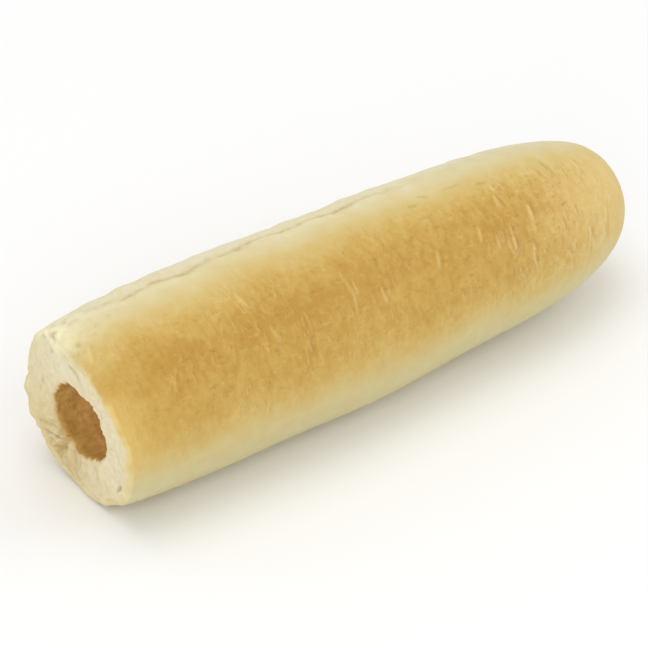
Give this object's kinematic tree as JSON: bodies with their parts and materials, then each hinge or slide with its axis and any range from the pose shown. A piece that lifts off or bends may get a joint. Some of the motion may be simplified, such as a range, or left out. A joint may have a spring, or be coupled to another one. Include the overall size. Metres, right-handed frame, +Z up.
{
  "type": "french hot dog bun",
  "caption": "Long round roll of white bread with a golden crust, cut across at one end and closed at the other, with a blind hole along its middle to take a sausage.",
  "frame": {"origin": "middle of the bun's underside, on the surface it rests on", "axes": "+X along the bun from the cut end to the closed tip, +Y to the back, +Z up"},
  "size_m": [0.1716, 0.0514, 0.0516],
  "materials": {
    "bread": "matte"
  },
  "bodies": {
    "root": {"bun": "bread"}
  },
  "joints": []
}
